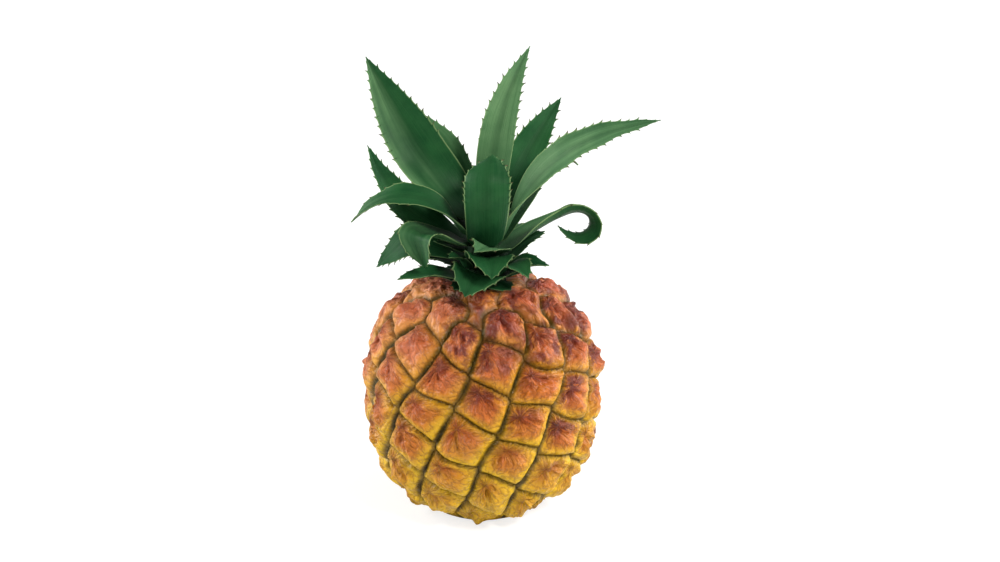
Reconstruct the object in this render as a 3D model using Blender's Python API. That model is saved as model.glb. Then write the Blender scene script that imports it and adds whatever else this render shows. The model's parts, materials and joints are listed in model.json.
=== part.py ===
"""Pineapple-shaped shaker: a hollow moulded fruit with loose beads inside and a crown of separate leaves.

Metres, +Z up, front towards -Y. The origin is the middle of the flat base, on the fruit's axis.
"""

from collections import namedtuple
from math import radians

import bmesh
import bpy
import numpy as np
from mathutils import Vector

MM = 0.001

# Fruit body: crest profile of two superellipse halves that meet at the equator
FRUIT_RADIUS = 0.0562
EQUATOR_HEIGHT = 0.056
SHOULDER_RISE = 0.0572
SHOULDER_POWER = 2.6
BELLY_POWER = 2.4
BASE_CUT = 0.0038
NECK_CUT = 0.0009

# Eyes of the fruit: one spiral of eyes, seen as 8 and 13 crossing rows
EYE_TURN = 137.78
EYE_SIDE = 0.02245
EYE_GROWTH = 0.135
FIRST_EYE_AZIMUTH = 9.0
FIRST_EYE_COUNT = -25.3
ROW_A, ROW_B = 8, 13
FULL_TURNS_A, FULL_TURNS_B = 3, 5
NECK_FADE = 0.024
BASE_FADE = 0.006
EYE_STATIONS = (-0.5, -0.4, -0.16, 0.16, 0.4, 0.5)

# Slow waves that carry the rows of eyes off their spiral
EYE_DRIFT = 0.0010
DRIFT_WAVE = 0.055
DRIFT_FROM, DRIFT_FULL = 0.020, 0.040

# Relief of one eye: a dome with steep walls into its grooves, proud below, hollow above and pleated
EYE_DOME = 0.0030
DOME_POWER = 2.2
EYE_WALL = 0.0012
WALL_FROM = 0.8
EYE_TILT = 0.0012
EYE_HOLLOW = 0.0012
HOLLOW_WIDTH, HOLLOW_HEIGHT = 0.34, 0.22
HOLLOW_RISE = 0.24
EYE_PLEATS = 0.0006
PLEATS_ROUND = 4
PLEATS_FULL = 0.3
EYE_UNEVEN = 0.2

# Wall and cavity
WALL = 0.0022
FLOOR_THICKNESS = 0.005
NECK_BORE_RADIUS = 0.0088
CAVITY_SIDES = 40
CAVITY_RINGS = 14

# Clearance between pieces that fit in or seat on each other, and how far cutters run past a face
CLEARANCE = 0.0003
CUT_PAST = 0.005

# Crown plug: flange sunk flush in the neck and spigot in its bore
FLANGE_LIP = 0.002
FLANGE_THICKNESS = 0.0022
SPIGOT_LENGTH = 0.011
SOCKET_RADIUS = 0.0052
SOCKET_DEPTH = 0.009
TURNED_SIDES = 32

# Crown core: stem that carries the leaves
CORE_BASE_RADIUS = 0.0080
CORE_TOP_RADIUS = 0.0068
CORE_HEIGHT = 0.0365
CORE_DOME = 0.004
DOME_SHOULDER = (0.72, 0.7)

# Leaf roots: flat tabs in slots of the core
TAB_DEPTH = 0.0032
TAB_WIDTH = 0.0054
TAB_THICKNESS = 0.0016
TAB_CLEARANCE = 0.0004
HEEL_LENGTH = 0.005

# Leaf blades
LEAF_EDGE_SHARE = 0.55
LEAF_TIP_SHARE = 0.55
LEAF_GUTTER = 0.30
LEAF_FLARE = 1.0
LEAF_WAIST = 0.28
CLASP_FULL = 0.003
CLASP_LENGTH = 0.018
TWIST_BY = 0.45
TOOTH_PITCH = 0.0062
TOOTH_LENGTH = 0.0013
TOOTH_LEAN = 0.0009
TOOTH_FULL_AT = 0.003
TOOTHED_FROM = 0.38
PLAIN_STATIONS = 7
TIP_WIDTH = 0.0006
SECTION = (-1.0, -0.42, 0.42, 1.0)

# Beads that rattle: one in the middle and a ring of others on the cavity floor
BEAD_RADIUS = 0.003
BEADS_IN_RING = 5
BEAD_SPACING = 0.0018

# One row for each leaf. Lengths in millimetres and angles in degrees: root height above the plug,
# rise of the blade at its heel, how far it bends over and between which shares of its length,
# how far its heading sweeps round, how far the blade twists about its own line, and the share of
# its length where it is widest.
Leaf = namedtuple("Leaf", "name azimuth height length width rise bend start end sweep twist widest")
LEAVES = (
    Leaf("leaf_left_tall", -132, 29, 91, 24, 38, -20, 0.0, 1.0, 12, -46, 0.45),
    Leaf("leaf_back_left_recurved", -156, 22.5, 67, 16, 50, 25, 0.4, 1.0, 22, -20, 0.50),
    Leaf("leaf_centre_tall", 150, 32.5, 81, 16, 92, 46, 0.0, 1.0, -10, 30, 0.40),
    Leaf("leaf_right_upright", 136, 29.5, 66, 16, 57, 20, 0.0, 1.0, 1, 45, 0.45),
    Leaf("leaf_right_long", 71, 23, 103, 16, 67, 50, 0.0, 1.0, 7, 40, 0.45),
    Leaf("leaf_left_arch", -64, 25, 69, 15, 60, 108, 0.0, 1.0, -58, -15, 0.50),
    Leaf("leaf_left_slim", -108, 17.6, 68, 15, 24, -46, 0.1, 1.0, 19, -46, 0.42),
    Leaf("leaf_left_folded", -72, 20, 48, 20, 23, 134, 0.53, 0.67, 48, 0, 0.50),
    Leaf("leaf_front_broad", 8, 19.8, 63, 21, 67, -118, 0.42, 0.95, -19, -3, 0.65),
    Leaf("leaf_left_droop", -99, 11.6, 52, 17, 21, 66, 0.2, 0.75, -20, -46, 0.50),
    Leaf("leaf_left_low", -68, 3.5, 34, 14, 18, 24, 0.0, 1.0, -6, 0, 0.45),
    Leaf("leaf_right_curl", 110, 14.5, 73, 19, 26, 250, 0.45, 1.0, -26, -22, 0.40),
    Leaf("leaf_front_small", 25, 15.8, 26, 18, 41, 42, 0.45, 0.85, -84, -5, 0.55),
    Leaf("leaf_front_low", 0, 2.5, 30, 24, 56, 94, 0.1, 0.95, -36, -10, 0.50),
    Leaf("leaf_front_mid", 9, 11.6, 32, 22, 48, 74, 0.1, 0.95, -5, -6, 0.50),
    Leaf("leaf_front_right_low", 39, 5.4, 28, 21, 56, 82, 0.1, 1.0, 5, -8, 0.45),
    Leaf("leaf_right_low", 82, 2.5, 25, 18, 48, 58, 0.0, 1.0, 8, 0, 0.40),
    Leaf("leaf_front_left_low", -45, 9, 17, 9.5, 72, 62, 0.1, 0.95, -6, -5, 0.50),
    Leaf("leaf_right_short", 111, 7.5, 28, 16, 48, 42, 0.0, 1.0, 16, 0, 0.40),
    Leaf("leaf_back_right_hooked", 130, 18.5, 66, 15, 48, 92, 0.5, 1.0, 0, 10, 0.42),
    Leaf("leaf_back_low", 160, 2.5, 44, 18, 38, 60, 0.1, 1.0, 0, 0, 0.40),
    Leaf("leaf_back_left_low", -159, 7.5, 48, 18, 28, 70, 0.1, 1.0, -2, -10, 0.40),
)

BELLY_DROP = EQUATOR_HEIGHT + BASE_CUT
NECK_HEIGHT = EQUATOR_HEIGHT + SHOULDER_RISE - NECK_CUT
RECESS_FLOOR = NECK_HEIGHT - FLANGE_THICKNESS - CLEARANCE
FLANGE_SEAT = RECESS_FLOOR + CLEARANCE
FLANGE_TOP = FLANGE_SEAT + FLANGE_THICKNESS
CORE_SEAT = FLANGE_TOP + CLEARANCE
CAVITY_INSET = EYE_DOME + EYE_WALL + WALL
FLANGE_RADIUS = NECK_BORE_RADIUS + FLANGE_LIP
BEAD_RING_RADIUS = 2.0 * BEAD_RADIUS + BEAD_SPACING


def clear_scene():
    for thing in list(bpy.data.objects):
        bpy.data.objects.remove(thing, do_unlink=True)


def surface(name, colour, roughness, metallic=0.0):
    """A plain Principled material."""
    material = bpy.data.materials.new(name)
    material.use_nodes = True
    shader = material.node_tree.nodes["Principled BSDF"]
    shader.inputs["Base Color"].default_value = (*colour, 1.0)
    shader.inputs["Roughness"].default_value = roughness
    shader.inputs["Metallic"].default_value = metallic
    return material


def object_from(name, mesh_builder, material, origin=(0.0, 0.0, 0.0), parent=None):
    """An object of this bmesh, with its origin at the given point of the model."""
    bmesh.ops.recalc_face_normals(mesh_builder, faces=mesh_builder.faces)
    bmesh.ops.translate(mesh_builder, vec=-Vector(origin), verts=mesh_builder.verts)
    mesh = bpy.data.meshes.new(name)
    mesh_builder.to_mesh(mesh)
    mesh_builder.free()
    mesh.shade_smooth()
    mesh.set_sharp_from_angle(angle=radians(40))
    mesh.materials.append(material)
    made = bpy.data.objects.new(name, mesh)
    made.location = origin
    made.parent = parent
    bpy.context.scene.collection.objects.link(made)
    return made


def cut(target, cutter):
    """Takes the cutter out of the target, and hides the cutter."""
    cutter.hide_render = True
    cutter.display_type = "WIRE"
    boolean = target.modifiers.new("cut " + cutter.name, "BOOLEAN")
    boolean.operation = "DIFFERENCE"
    boolean.object = cutter


def turned(profile, sides):
    """A solid of revolution about Z from (radius, height) points that start and end on the axis."""
    builder = bmesh.new()
    points = [builder.verts.new((radius, 0.0, height)) for radius, height in profile]
    line = [builder.edges.new(pair) for pair in zip(points, points[1:])]
    bmesh.ops.spin(
        builder,
        geom=points + line,
        cent=(0.0, 0.0, 0.0),
        axis=(0.0, 0.0, 1.0),
        angle=radians(360),
        steps=sides,
        use_merge=True,
    )
    bmesh.ops.remove_doubles(builder, verts=builder.verts, dist=1e-7)
    return builder


def smooth(share):
    """Eases from 0 to 1."""
    share = np.clip(share, 0.0, 1.0)
    return share * share * (3.0 - 2.0 * share)


def crest_profile(samples=2001):
    """Radius and height of the crest profile from the lower pole to the upper one."""
    turn = np.linspace(-np.pi / 2, np.pi / 2, samples)
    upper = turn > 0
    power = 2.0 / np.where(upper, SHOULDER_POWER, BELLY_POWER)
    reach = np.where(upper, SHOULDER_RISE, -BELLY_DROP)
    radius = FRUIT_RADIUS * np.abs(np.cos(turn)) ** power
    height = EQUATOR_HEIGHT + reach * np.abs(np.sin(turn)) ** power
    return radius, height


def eye_count_along(radius, height):
    """Eyes counted downwards from the equator: skin area between two heights over the area of an eye."""
    step = np.hypot(np.diff(radius), np.diff(height))
    ring = 2.0 * np.pi * (radius[1:] + radius[:-1]) / 2.0 * step
    above = ((height[1:] + height[:-1]) / 2.0 - EQUATOR_HEIGHT) / SHOULDER_RISE
    eyes = np.concatenate([[0.0], np.cumsum(ring / (EYE_SIDE**2 * (1.0 - EYE_GROWTH * above)))])
    return np.interp(EQUATOR_HEIGHT, height, eyes) - eyes


def random_share(number, salt):
    """A fixed random share from 0 to 1 for a whole number."""
    return abs(np.sin(12.9898 * number + 78.233 * salt)) * 43758.5453 % 1.0


def eye_relief(across_a, across_b, eye):
    """How far the skin of an eye lies under the crest profile, from -0.5 to 0.5 along its two rows.

    A low dome with steep walls, its lower part proud and its upper part hollow, and pleats that run out from
    the hollow. Hollow and pleats lie a little differently in each eye.
    """
    edge = np.maximum(np.abs(across_a), np.abs(across_b)) * 2.0
    right = across_a - across_b - EYE_UNEVEN * (random_share(eye, 2) - 0.5)
    up = -across_a - across_b
    over_hollow = up - HOLLOW_RISE - EYE_UNEVEN * (random_share(eye, 3) - 0.5)
    inner = 1.0 - edge**4
    fall = EYE_DOME * edge**DOME_POWER + EYE_WALL * smooth((edge - WALL_FROM) / (1.0 - WALL_FROM))
    hollow = EYE_HOLLOW * np.exp(-((right / HOLLOW_WIDTH) ** 2) - (over_hollow / HOLLOW_HEIGHT) ** 2)
    around = PLEATS_ROUND * np.arctan2(right, over_hollow) + 2.0 * np.pi * random_share(eye, 4)
    pleats = EYE_PLEATS * np.cos(around) * smooth(np.hypot(right, over_hollow) / PLEATS_FULL)
    return fall + (hollow + EYE_TILT * up + pleats) * inner


def eye_drift(turn, radius, height):
    """How far the skin is carried along its ring and down its profile, so that the rows wander."""
    rise = 2.0 * np.pi * height / DRIFT_WAVE
    strength = EYE_DRIFT * smooth((radius - DRIFT_FROM) / (DRIFT_FULL - DRIFT_FROM))
    along_ring = strength * (np.sin(5.0 * turn + rise) + np.sin(8.0 * turn - 1.3 * rise + 1.0))
    downwards = strength * (np.sin(6.0 * turn - rise + 2.0) + np.sin(9.0 * turn + 0.8 * rise))
    return along_ring, downwards


def eye_fade(radius, height):
    """How strongly the eyes show: they die out towards the flat rims of the neck and the base."""
    crest_radius, crest_height = crest_profile()
    neck_rim = np.interp(-NECK_HEIGHT, -crest_height[::-1], crest_radius[::-1])
    base_rim = np.interp(0.0, crest_height, crest_radius)
    above = height > EQUATOR_HEIGHT
    rim = np.where(above, neck_rim, base_rim)
    return smooth((radius - rim - CLEARANCE) / np.where(above, NECK_FADE, BASE_FADE))


def fruit_skin():
    """The skin of the fruit as one sheet: a grid patch for each eye, welded along the grooves."""
    radius, height = crest_profile()
    count = eye_count_along(radius, height)
    run = np.concatenate([[0.0], np.cumsum(np.hypot(np.diff(radius), np.diff(height)))])
    tangent = np.gradient(radius, run), np.gradient(height, run)
    turn_a = ROW_A * EYE_TURN - 360.0 * FULL_TURNS_A
    turn_b = ROW_B * EYE_TURN - 360.0 * FULL_TURNS_B
    spare = ROW_A + ROW_B
    first = int(np.floor(count.min() - FIRST_EYE_COUNT)) - spare
    last = int(np.ceil(count.max() - FIRST_EYE_COUNT)) + spare
    stations = np.array(EYE_STATIONS)
    across_a, across_b = np.meshgrid(stations, stations, indexing="ij")
    size = len(stations)

    builder = bmesh.new()
    for eye in range(first, last + 1):
        number = eye + ROW_A * across_a + ROW_B * across_b + FIRST_EYE_COUNT
        turn = np.radians(FIRST_EYE_AZIMUTH + EYE_TURN * eye + turn_a * across_a + turn_b * across_b)
        where = np.clip(number, count.min(), count.max())
        place, out, up = (np.interp(where, count[::-1], line[::-1]) for line in (run, radius, height))
        along_ring, downwards = eye_drift(turn, out, up)
        turn = turn + along_ring / np.maximum(out, DRIFT_FROM)
        place = place - downwards
        out, up, lean, level = (np.interp(place, run, line) for line in (radius, height, *tangent))
        sunk = eye_relief(across_a, across_b, eye) * eye_fade(out, up)
        out = np.maximum(out - sunk * level, 0.0)
        up = up + sunk * lean
        points = np.stack([out * np.sin(turn), -out * np.cos(turn), up], axis=2)
        grid = [[builder.verts.new(point) for point in row] for row in points]
        for i in range(size - 1):
            for j in range(size - 1):
                builder.faces.new((grid[i][j], grid[i][j + 1], grid[i + 1][j + 1], grid[i + 1][j]))
    bmesh.ops.remove_doubles(builder, verts=builder.verts, dist=2e-6)
    return builder


def fruit_shell(material):
    """The moulded fruit: its skin, cut flat at the base and the neck, and hollowed through the neck."""
    builder = fruit_skin()
    for height, normal in ((0.0, (0, 0, -1)), (NECK_HEIGHT, (0, 0, 1))):
        everything = builder.verts[:] + builder.edges[:] + builder.faces[:]
        bmesh.ops.bisect_plane(
            builder,
            geom=everything,
            dist=1e-7,
            plane_co=(0.0, 0.0, height),
            plane_no=normal,
            clear_outer=True,
        )
        rim = [
            edge
            for edge in builder.edges
            if edge.is_boundary and all(abs(vertex.co.z - height) < 1e-6 for vertex in edge.verts)
        ]
        bmesh.ops.contextual_create(builder, geom=rim)
    shell = object_from("fruit_shell", builder, material)
    cut(shell, object_from("cavity", turned(cavity_profile(), CAVITY_SIDES), material))
    return shell


def cavity_profile():
    """Radius and height of the hollow: the crest profile drawn in, with a flat floor, a bore and a recess."""
    radius, height = crest_profile()
    share = (FRUIT_RADIUS - CAVITY_INSET) / FRUIT_RADIUS
    radius = radius * share
    height = EQUATOR_HEIGHT + (height - EQUATOR_HEIGHT) * share
    shoulder = height > EQUATOR_HEIGHT
    bore_height = float(np.interp(-NECK_BORE_RADIUS, -radius[shoulder], height[shoulder]))
    rings = np.linspace(FLOOR_THICKNESS, bore_height, CAVITY_RINGS)
    walls = [(float(np.interp(ring, height, radius)), float(ring)) for ring in rings]
    above_neck = NECK_HEIGHT + CUT_PAST
    recess_radius = FLANGE_RADIUS + CLEARANCE
    bore = [
        (NECK_BORE_RADIUS, bore_height),
        (NECK_BORE_RADIUS, RECESS_FLOOR),
        (recess_radius, RECESS_FLOOR),
        (recess_radius, above_neck),
        (0.0, above_neck),
    ]
    return [(0.0, FLOOR_THICKNESS)] + walls[:-1] + bore


def crown_plug(material, parent):
    """Turned plug: a flange sunk in the neck, a spigot in its bore and a socket for the core."""
    spigot = NECK_BORE_RADIUS - CLEARANCE
    foot = FLANGE_SEAT - SPIGOT_LENGTH
    socket_floor = FLANGE_TOP - SOCKET_DEPTH
    profile = [
        (0.0, foot),
        (spigot, foot),
        (spigot, FLANGE_SEAT),
        (FLANGE_RADIUS, FLANGE_SEAT),
        (FLANGE_RADIUS, FLANGE_TOP),
        (SOCKET_RADIUS, FLANGE_TOP),
        (SOCKET_RADIUS, socket_floor),
        (0.0, socket_floor),
    ]
    return object_from("crown_plug", turned(profile, TURNED_SIDES), material, parent=parent)


def core_radius(height):
    """Radius of the stem at a height above its seat."""
    return CORE_BASE_RADIUS + (CORE_TOP_RADIUS - CORE_BASE_RADIUS) * height / CORE_HEIGHT


def crown_core(material, parent):
    """Tapered stem with a peg for the plug and a slot for each leaf."""
    peg = SOCKET_RADIUS - CLEARANCE
    foot = FLANGE_TOP - SOCKET_DEPTH + CLEARANCE
    top = CORE_SEAT + CORE_HEIGHT
    profile = [
        (0.0, foot),
        (peg, foot),
        (peg, CORE_SEAT),
        (CORE_BASE_RADIUS, CORE_SEAT),
        (CORE_TOP_RADIUS, top),
        (CORE_TOP_RADIUS * DOME_SHOULDER[0], top + CORE_DOME * DOME_SHOULDER[1]),
        (0.0, top + CORE_DOME),
    ]
    core = object_from("crown_core", turned(profile, TURNED_SIDES), material, parent=parent)
    for leaf in LEAVES:
        cut(core, leaf_slot(leaf, material))
    return core


def leaf_root(leaf):
    """Hinge point in the middle of the tab, outward direction, and sideways direction of a leaf."""
    turn = radians(leaf.azimuth)
    outward = np.array([np.sin(turn), -np.cos(turn), 0.0])
    sideways = np.array([np.cos(turn), np.sin(turn), 0.0])
    height = leaf.height * MM
    mouth = core_radius(height) - CLEARANCE
    hinge = outward * (mouth - TAB_DEPTH / 2.0) + np.array([0.0, 0.0, CORE_SEAT + height])
    return hinge, outward, sideways


def leaf_slot(leaf, material):
    """A box cutter for one leaf's slot, open to the outside of the core."""
    hinge, outward, sideways = leaf_root(leaf)
    inner = -(TAB_DEPTH / 2.0 + TAB_CLEARANCE)
    outer = TAB_DEPTH / 2.0 + CUT_PAST
    half_width = TAB_WIDTH / 2.0 + TAB_CLEARANCE
    half_height = TAB_THICKNESS / 2.0 + TAB_CLEARANCE
    builder = bmesh.new()
    bmesh.ops.create_cube(builder, size=1.0)
    for vertex in builder.verts:
        along = inner if vertex.co.x < 0 else outer
        across = half_width if vertex.co.y > 0 else -half_width
        up = half_height if vertex.co.z > 0 else -half_height
        vertex.co = hinge + outward * along + sideways * across + np.array([0.0, 0.0, up])
    return object_from("slot_" + leaf.name, builder, material)


def blade_stations(leaf):
    """Shares of a blade's length with a section: a few on the plain part, then two for each pair of teeth."""
    length = leaf.length * MM
    teeth = max(2, round((1.0 - TOOTHED_FROM) * length / TOOTH_PITCH))
    plain = np.linspace(0.0, TOOTHED_FROM, PLAIN_STATIONS)
    toothed = np.linspace(TOOTHED_FROM, 1.0, 2 * teeth + 1)[1:]
    is_tooth = np.concatenate([np.zeros(PLAIN_STATIONS), np.arange(1, 2 * teeth + 1) % 2])
    return np.concatenate([plain, toothed]), is_tooth


def blade_path(leaf, shares):
    """Points, directions and sideways directions of a blade's middle line at these shares of its length."""
    length = leaf.length * MM
    fine = np.linspace(0.0, 1.0, 401)
    elevation = leaf.rise * smooth(fine * length / HEEL_LENGTH)
    elevation = np.radians(elevation - leaf.bend * smooth((fine - leaf.start) / (leaf.end - leaf.start)))
    heading = np.radians(leaf.azimuth + leaf.sweep * fine)
    along = np.stack(
        [np.cos(elevation) * np.sin(heading), -np.cos(elevation) * np.cos(heading), np.sin(elevation)], axis=1
    )
    steps = (along[1:] + along[:-1]) / 2.0 * length / (len(fine) - 1)
    points = np.concatenate([np.zeros((1, 3)), np.cumsum(steps, axis=0)])
    hinge, outward, _ = leaf_root(leaf)
    points = points + hinge + outward * (TAB_DEPTH / 2.0)
    level = np.stack([np.cos(heading), np.sin(heading), np.zeros_like(heading)], axis=1)
    upper = np.cross(along, level)
    twist = np.radians(leaf.twist * smooth(fine / TWIST_BY))[:, None]
    across = level * np.cos(twist) + upper * np.sin(twist)

    def at(values):
        return np.stack([np.interp(shares, fine, values[:, axis]) for axis in range(3)], axis=1)

    return at(points), at(along), at(across)


def half_width(leaf, shares):
    """Half the width of a blade: it flares from the tab, swells to its widest place and tapers to the tip."""
    full = leaf.width * MM / 2.0
    flare = TAB_WIDTH / 2.0 + LEAF_FLARE * shares * leaf.length * MM
    swell = full * (1.0 - LEAF_WAIST * np.clip(1.0 - shares / leaf.widest, 0.0, 1.0) ** 2)
    taper = full * np.cos(np.clip((shares - leaf.widest) / (1.0 - leaf.widest), 0.0, 1.0) * np.pi / 2.0)
    body = np.where(shares < leaf.widest, swell, taper)
    return np.maximum(np.minimum(body, flare), TIP_WIDTH / 2.0)


def blade_gutter(points, along, width, run):
    """How far a blade's edges stand over its middle line, as a share of half its width.

    Near the stem the blade lies on a cone about it, so that the bases of the leaves nest. Further out it is a
    plain gutter.
    """
    clasp = width * np.abs(along[:, 2]) / (2.0 * np.hypot(points[:, 0], points[:, 1]))
    settle = smooth((run - CLASP_FULL) / CLASP_LENGTH)
    return (clasp * (1.0 - settle) + LEAF_GUTTER * settle) * smooth(run / CLASP_FULL)


def leaf_sections(leaf):
    """Closed rings of points along a leaf: the end of its tab, then one for each station of its blade."""
    shares, is_tooth = blade_stations(leaf)
    points, along, across = blade_path(leaf, shares)
    upper = np.cross(along, across)
    width = half_width(leaf, shares)
    last = len(shares) - 1
    tooth = TOOTH_LENGTH * is_tooth * np.minimum(1.0, width / TOOTH_FULL_AT)
    tooth[last] = 0.0
    lean = TOOTH_LEAN * is_tooth
    lean[last] = 0.0
    thickness = TAB_THICKNESS * (1.0 - LEAF_TIP_SHARE * shares)
    gutter = blade_gutter(points, along, width, shares * leaf.length * MM)

    hinge, outward, sideways = leaf_root(leaf)
    rings = [tab_ring(hinge - outward * (TAB_DEPTH / 2.0), sideways)]
    for i in range(len(shares)):
        top, under = [], []
        for place in SECTION:
            is_edge = abs(place) == 1.0
            reach = width[i] * place + (tooth[i] * place if is_edge else 0.0)
            shift = lean[i] if is_edge else 0.0
            middle = points[i] + across[i] * reach + along[i] * shift
            middle = middle + upper[i] * (gutter[i] * width[i] * place * place)
            half = thickness[i] / 2.0 * (LEAF_EDGE_SHARE if is_edge else 1.0)
            if i == 0:
                half = TAB_THICKNESS / 2.0
            top.append(middle + upper[i] * half)
            under.append(middle - upper[i] * half)
        rings.append(top + under[::-1])
    return rings


def tab_ring(centre, sideways):
    """The rectangular section of a leaf's tab, with as many points as a blade section."""
    up = np.array([0.0, 0.0, TAB_THICKNESS / 2.0])
    row = [centre + sideways * (TAB_WIDTH / 2.0 * place) for place in SECTION]
    return [point + up for point in row] + [point - up for point in row[::-1]]


def crown_leaf(leaf, material, parent):
    """One leaf: its rings joined into a closed skin. Its origin is its flexing point, in the core's slot."""
    builder = bmesh.new()
    rings = [[builder.verts.new(point) for point in ring] for ring in leaf_sections(leaf)]
    for ring, following in zip(rings, rings[1:]):
        for k in range(len(ring)):
            after = (k + 1) % len(ring)
            builder.faces.new((ring[k], ring[after], following[after], following[k]))
    builder.faces.new(rings[0])
    builder.faces.new(rings[-1])
    hinge, _, _ = leaf_root(leaf)
    return object_from(leaf.name, builder, material, tuple(hinge), parent)


def rattle_beads(material, parent):
    """Loose beads on the floor of the cavity, each its own piece."""
    rest = FLOOR_THICKNESS + CLEARANCE + BEAD_RADIUS
    places = [(0.0, 0.0)]
    for i in range(BEADS_IN_RING):
        turn = 2.0 * np.pi * i / BEADS_IN_RING
        places.append((BEAD_RING_RADIUS * np.sin(turn), -BEAD_RING_RADIUS * np.cos(turn)))
    for i, (x, y) in enumerate(places, start=1):
        builder = bmesh.new()
        bmesh.ops.create_icosphere(builder, subdivisions=2, radius=BEAD_RADIUS)
        bmesh.ops.translate(builder, vec=(x, y, rest), verts=builder.verts)
        object_from(f"rattle_bead_{i}", builder, material, (x, y, rest), parent)


def main():
    clear_scene()
    shell = fruit_shell(surface("fruit_skin", (0.62, 0.27, 0.07), 0.5))
    crown_plug(surface("plug_plastic", (0.03, 0.07, 0.03), 0.6), shell)
    core = crown_core(surface("core_plastic", (0.02, 0.08, 0.03), 0.6), shell)
    green = surface("leaf_plastic", (0.02, 0.14, 0.06), 0.4)
    for leaf in LEAVES:
        crown_leaf(leaf, green, core)
    rattle_beads(surface("bead_steel", (0.55, 0.55, 0.56), 0.3, 1.0), shell)


main()
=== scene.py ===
"""Pineapple-shaped shaker on a plain white floor: moulded fruit with its spiral of eyes, toothed leaves and beads.

Metres, +Z up, front towards -Y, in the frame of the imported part.
"""

import json
from typing import NamedTuple

import bpy
import numpy as np
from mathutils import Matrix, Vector

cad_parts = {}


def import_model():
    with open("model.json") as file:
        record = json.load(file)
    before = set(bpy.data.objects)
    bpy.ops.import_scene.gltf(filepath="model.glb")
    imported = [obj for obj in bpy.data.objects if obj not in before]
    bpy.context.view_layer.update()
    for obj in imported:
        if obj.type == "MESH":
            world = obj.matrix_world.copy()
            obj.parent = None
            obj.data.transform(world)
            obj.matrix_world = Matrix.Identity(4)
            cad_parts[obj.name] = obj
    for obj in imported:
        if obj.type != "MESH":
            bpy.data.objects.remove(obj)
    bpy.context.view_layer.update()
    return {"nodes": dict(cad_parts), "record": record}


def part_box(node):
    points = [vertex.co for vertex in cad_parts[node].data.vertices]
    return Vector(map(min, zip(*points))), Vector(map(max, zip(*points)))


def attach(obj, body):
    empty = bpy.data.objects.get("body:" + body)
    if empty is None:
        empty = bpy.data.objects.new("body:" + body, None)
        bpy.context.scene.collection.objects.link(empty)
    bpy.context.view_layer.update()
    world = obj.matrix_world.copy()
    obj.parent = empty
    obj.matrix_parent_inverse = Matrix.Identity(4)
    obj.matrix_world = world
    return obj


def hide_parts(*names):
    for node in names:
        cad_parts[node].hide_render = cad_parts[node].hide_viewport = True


MM = 0.001

# The photograph's camera, and the point that it and the lamps aim at
AIM_POINT = (0.008, 0.0, 0.112)
CAMERA_ELEVATION = 24.0
CAMERA_DISTANCE = 1.2
CAMERA_LENS = 93.46
SENSOR_WIDTH = 36.0

# Fruit: crest profile of two superellipse halves that meet at the equator
FRUIT_RADIUS = 0.0562
EQUATOR_HEIGHT = 0.056
SHOULDER_RISE = 0.0572
SHOULDER_POWER = 2.6
BELLY_POWER = 2.4
BELLY_DROP = 0.0598
NECK_HEIGHT = 0.1123
RECESS_RADIUS = 0.0111
RECESS_DEPTH = 0.0024
NECK_LIP = 0.002
BASE_RINGS = (0.3, 0.7, 0.97)
SKIN_RINGS = 210
SKIN_SIDES = 440

# Eyes: one spiral, seen as 8 and 13 crossing rows
EYE_TURN = 137.78
EYE_SIDE = 0.02245
EYE_GROWTH = 0.135
FIRST_EYE_AZIMUTH = 9.0
FIRST_EYE_COUNT = -25.3
ROW_A, ROW_B = 8, 13
TURN_A = ROW_A * EYE_TURN - 360.0 * 3
TURN_B = ROW_B * EYE_TURN - 360.0 * 5
EYE_SEARCH = 27
FAR_OFF = 9.0
EYE_SHEAR = 0.12
TILE_POWER = 5.0
TILE_FROM, TILE_FULL = 0.024, 0.040
POLE_STRETCH = 1.4
ROW_CHANGE = 4.0
RIM_FADE = 0.004
NECK_FADE = 0.024
NECK_EYES = 0.5
BASE_FADE = 0.006

# Slow waves that carry the rows of eyes off their spiral
EYE_DRIFT = 0.0010
DRIFT_WAVE = 0.055
DRIFT_FROM, DRIFT_FULL = 0.020, 0.040
DRIFT_PASSES = 3

# Relief of one eye: dome, walls, tilt, hollow with its lip, pleats, finer folds and lumps. Heights are in metres,
# places and widths in shares of an eye.
EYE_DOME = 0.0030
DOME_POWER = 2.2
EYE_WALL = 0.0012
WALL_FROM = 0.8
RELIEF_POWER = 4
EYE_TILT = 0.0012
EYE_HOLLOW = 0.0012
HOLLOW_WIDTH, HOLLOW_HEIGHT = 0.34, 0.22
HOLLOW_RISE = 0.24
EYE_PLEATS = 0.0006
PLEATS_ROUND = 4
PLEATS_FULL = 0.3
EYE_UNEVEN = 0.2
EYE_LIP = 0.0007
LIP_REACH, LIP_WIDTH = 0.30, 0.11
LIP_MIDDLE = 0.05
FOLD_RISE = 0.5
EYE_FOLDS = 0.0006
EYE_CREASES = 0.0010
FOLD_WAVE, CREASE_WAVE = 0.9, 0.8
FOLD_STEP, FOLD_CHANGE = 3.7, 0.4
FOLDS_FULL = 0.35
FOLDS_KEPT = 0.45
FOLDS_OUT, FOLDS_FADE = 1.25, 0.7
EYE_LUMPS = 0.00022
NECK_LUMPS = 0.0007
LUMP_WAVE = 0.0045
EYE_LIFT = 0.0004
EYE_LEAN = 0.0006

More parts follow.
